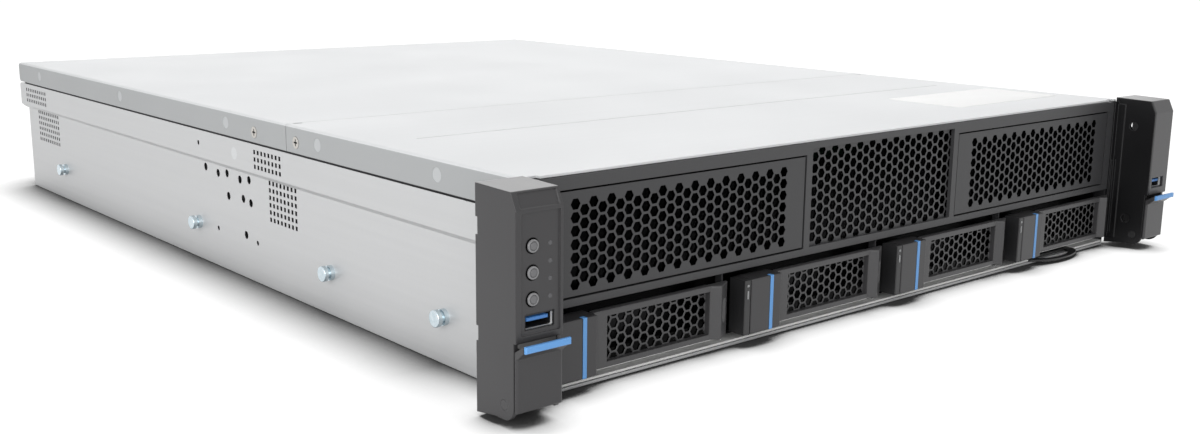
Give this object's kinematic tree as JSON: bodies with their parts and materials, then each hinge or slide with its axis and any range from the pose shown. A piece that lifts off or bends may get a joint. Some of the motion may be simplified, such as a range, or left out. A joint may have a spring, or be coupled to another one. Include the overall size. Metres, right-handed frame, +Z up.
{
  "type": "rackmount ip video recorder",
  "caption": "Rack video recorder: flat zinc steel case with split top cover, perforated black front, slide-out drive trays with blue-striped releases, latching rack ears and rear power units.",
  "frame": {"origin": "centre of the footprint, on the plane of the case's underside", "axes": "+Z up, +Y from the front to the rear, +X to the right seen from the front"},
  "size_m": [0.4826, 0.633, 0.0885],
  "materials": {
    "zinc_sheet": "zinc-coated sheet with a faint rolled grain",
    "cover_sheet": "smooth pale zinc-coated sheet",
    "black_sheet": "fine matt black powder coat",
    "board": "green board laminate",
    "black_plastic": "fine-grained black moulding",
    "rotor_plastic": "smooth black moulding",
    "fin_metal": "bare fins",
    "socket_metal": "pressed and plated",
    "bright_zinc": "bright zinc plate",
    "light_pipe": "clear moulding, unlit",
    "blue_plastic": "mid-blue moulding",
    "button_grey": "grey moulding",
    "tray_plastic": "fine-grained black moulding",
    "drive_metal": "cast case with a flat lid",
    "supply_metal": "zinc-coated sheet"
  },
  "bodies": {
    "case": {"chassis_base": "zinc_sheet", "rear_panel": "zinc_sheet", "front_frame": "black_sheet", "left_bay_blank": "black_sheet", "right_bay_blank": "black_sheet", "drive_cage": "zinc_sheet", "drive_backplane": "board", "fan_wall": "zinc_sheet", "fan_housings": "black_plastic", "motherboard": "board", "heat_sinks": "fin_metal", "memory_modules": "board", "io_ports": "socket_metal", "slot_covers": "zinc_sheet", "top_cover_front": "cover_sheet", "top_cover_rear": "cover_sheet", "case_screws": "bright_zinc", "rail_studs": "bright_zinc", "ear_left": "black_plastic", "ear_right": "black_plastic", "usb_left": "socket_metal", "usb_right": "socket_metal", "status_lights": "light_pipe", "latch_pins": "black_plastic"},
    "tray_1": {"carrier_1": "tray_plastic", "drive_1": "drive_metal"},
    "lever_1": {"tray_lever_1": "tray_plastic"},
    "release_1": {"release_button_1": "tray_plastic", "release_stripe_1": "blue_plastic"},
    "tray_2": {"carrier_2": "tray_plastic", "drive_2": "drive_metal"},
    "lever_2": {"tray_lever_2": "tray_plastic"},
    "release_2": {"release_button_2": "tray_plastic", "release_stripe_2": "blue_plastic"},
    "tray_3": {"carrier_3": "tray_plastic", "drive_3": "drive_metal"},
    "lever_3": {"tray_lever_3": "tray_plastic"},
    "release_3": {"release_button_3": "tray_plastic", "release_stripe_3": "blue_plastic"},
    "tray_4": {"carrier_4": "tray_plastic", "drive_4": "drive_metal"},
    "lever_4": {"tray_lever_4": "tray_plastic"},
    "release_4": {"release_button_4": "tray_plastic", "release_stripe_4": "blue_plastic"},
    "power_button": {"power_button": "button_grey"},
    "locate_button": {"locate_button": "button_grey"},
    "reset_button": {"reset_button": "button_grey"},
    "latch_left": {"latch_lever_left": "black_plastic", "latch_tab_left": "blue_plastic"},
    "latch_right": {"latch_lever_right": "black_plastic", "latch_tab_right": "blue_plastic"},
    "info_tag": {"info_tag": "black_plastic"},
    "fan_rotor_1": {"fan_rotor_1": "rotor_plastic"},
    "fan_rotor_2": {"fan_rotor_2": "rotor_plastic"},
    "fan_rotor_3": {"fan_rotor_3": "rotor_plastic"},
    "fan_rotor_4": {"fan_rotor_4": "rotor_plastic"},
    "power_unit_1": {"power_unit_1": "supply_metal"},
    "power_latch_1": {"power_latch_1": "blue_plastic"},
    "power_unit_2": {"power_unit_2": "supply_metal"},
    "power_latch_2": {"power_latch_2": "blue_plastic"}
  },
  "joints": [
    {"name": "tray_1_slide", "type": "slide", "parent": "case", "child": "tray_1", "axis": [0, -1, 0], "range_m": [0, 0.16]},
    {"name": "lever_1_swing", "type": "hinge", "parent": "tray_1", "child": "lever_1", "pos_m": [-0.1183, -0.28705, 0.0188], "axis": [0, 0, 1], "range_deg": [0, 75]},
    {"name": "release_1_press", "type": "slide", "parent": "tray_1", "child": "release_1", "axis": [0, 1, 0], "range_m": [0, 0.0025], "stiffness_N_per_m": 900, "springref_m": -0.002},
    {"name": "tray_2_slide", "type": "slide", "parent": "case", "child": "tray_2", "axis": [0, -1, 0], "range_m": [0, 0.16]},
    {"name": "lever_2_swing", "type": "hinge", "parent": "tray_2", "child": "lever_2", "pos_m": [-0.0104, -0.28705, 0.0188], "axis": [0, 0, 1], "range_deg": [0, 75]},
    {"name": "release_2_press", "type": "slide", "parent": "tray_2", "child": "release_2", "axis": [0, 1, 0], "range_m": [0, 0.0025], "stiffness_N_per_m": 900, "springref_m": -0.002},
    {"name": "tray_3_slide", "type": "slide", "parent": "case", "child": "tray_3", "axis": [0, -1, 0], "range_m": [0, 0.16]},
    {"name": "lever_3_swing", "type": "hinge", "parent": "tray_3", "child": "lever_3", "pos_m": [0.0975, -0.28705, 0.0188], "axis": [0, 0, 1], "range_deg": [0, 75]},
    {"name": "release_3_press", "type": "slide", "parent": "tray_3", "child": "release_3", "axis": [0, 1, 0], "range_m": [0, 0.0025], "stiffness_N_per_m": 900, "springref_m": -0.002},
    {"name": "tray_4_slide", "type": "slide", "parent": "case", "child": "tray_4", "axis": [0, -1, 0], "range_m": [0, 0.16]},
    {"name": "lever_4_swing", "type": "hinge", "parent": "tray_4", "child": "lever_4", "pos_m": [0.2054, -0.28705, 0.0188], "axis": [0, 0, 1], "range_deg": [0, 75]},
    {"name": "release_4_press", "type": "slide", "parent": "tray_4", "child": "release_4", "axis": [0, 1, 0], "range_m": [0, 0.0025], "stiffness_N_per_m": 900, "springref_m": -0.002},
    {"name": "power_button_press", "type": "slide", "parent": "case", "child": "power_button", "axis": [0, 1, 0], "range_m": [0, 0.0008], "stiffness_N_per_m": 800, "springref_m": -0.001},
    {"name": "locate_button_press", "type": "slide", "parent": "case", "child": "locate_button", "axis": [0, 1, 0], "range_m": [0, 0.0008], "stiffness_N_per_m": 800, "springref_m": -0.001},
    {"name": "reset_button_press", "type": "slide", "parent": "case", "child": "reset_button", "axis": [0, 1, 0], "range_m": [0, 0.0008], "stiffness_N_per_m": 800, "springref_m": -0.001},
    {"name": "latch_left_swing", "type": "hinge", "parent": "case", "child": "latch_left", "pos_m": [-0.23055, -0.30385, 0.0087], "axis": [1, 0, 0], "range_deg": [0, 30], "stiffness_Nm_per_rad": 0.2, "springref_deg": -17.19},
    {"name": "latch_right_swing", "type": "hinge", "parent": "case", "child": "latch_right", "pos_m": [0.23055, -0.30385, 0.0087], "axis": [1, 0, 0], "range_deg": [0, 30], "stiffness_Nm_per_rad": 0.2, "springref_deg": -17.19},
    {"name": "info_tag_slide", "type": "slide", "parent": "case", "child": "info_tag", "axis": [0, -1, 0], "range_m": [0, 0.055]},
    {"name": "fan_1_spin", "type": "hinge", "parent": "case", "child": "fan_rotor_1", "pos_m": [-0.147, -0.05555, 0.0416], "axis": [0, 1, 0], "continuous": true},
    {"name": "fan_2_spin", "type": "hinge", "parent": "case", "child": "fan_rotor_2", "pos_m": [-0.049, -0.05555, 0.0416], "axis": [0, 1, 0], "continuous": true},
    {"name": "fan_3_spin", "type": "hinge", "parent": "case", "child": "fan_rotor_3", "pos_m": [0.049, -0.05555, 0.0416], "axis": [0, 1, 0], "continuous": true},
    {"name": "fan_4_spin", "type": "hinge", "parent": "case", "child": "fan_rotor_4", "pos_m": [0.147, -0.05555, 0.0416], "axis": [0, 1, 0], "continuous": true},
    {"name": "power_unit_1_slide", "type": "slide", "parent": "case", "child": "power_unit_1", "axis": [0, 1, 0], "range_m": [0, 0.17]},
    {"name": "power_latch_1_press", "type": "slide", "parent": "power_unit_1", "child": "power_latch_1", "axis": [-1, 0, 0], "range_m": [0, 0.003], "stiffness_N_per_m": 600, "springref_m": -0.002},
    {"name": "power_unit_2_slide", "type": "slide", "parent": "case", "child": "power_unit_2", "axis": [0, 1, 0], "range_m": [0, 0.17]},
    {"name": "power_latch_2_press", "type": "slide", "parent": "power_unit_2", "child": "power_latch_2", "axis": [-1, 0, 0], "range_m": [0, 0.003], "stiffness_N_per_m": 600, "springref_m": -0.002}
  ]
}
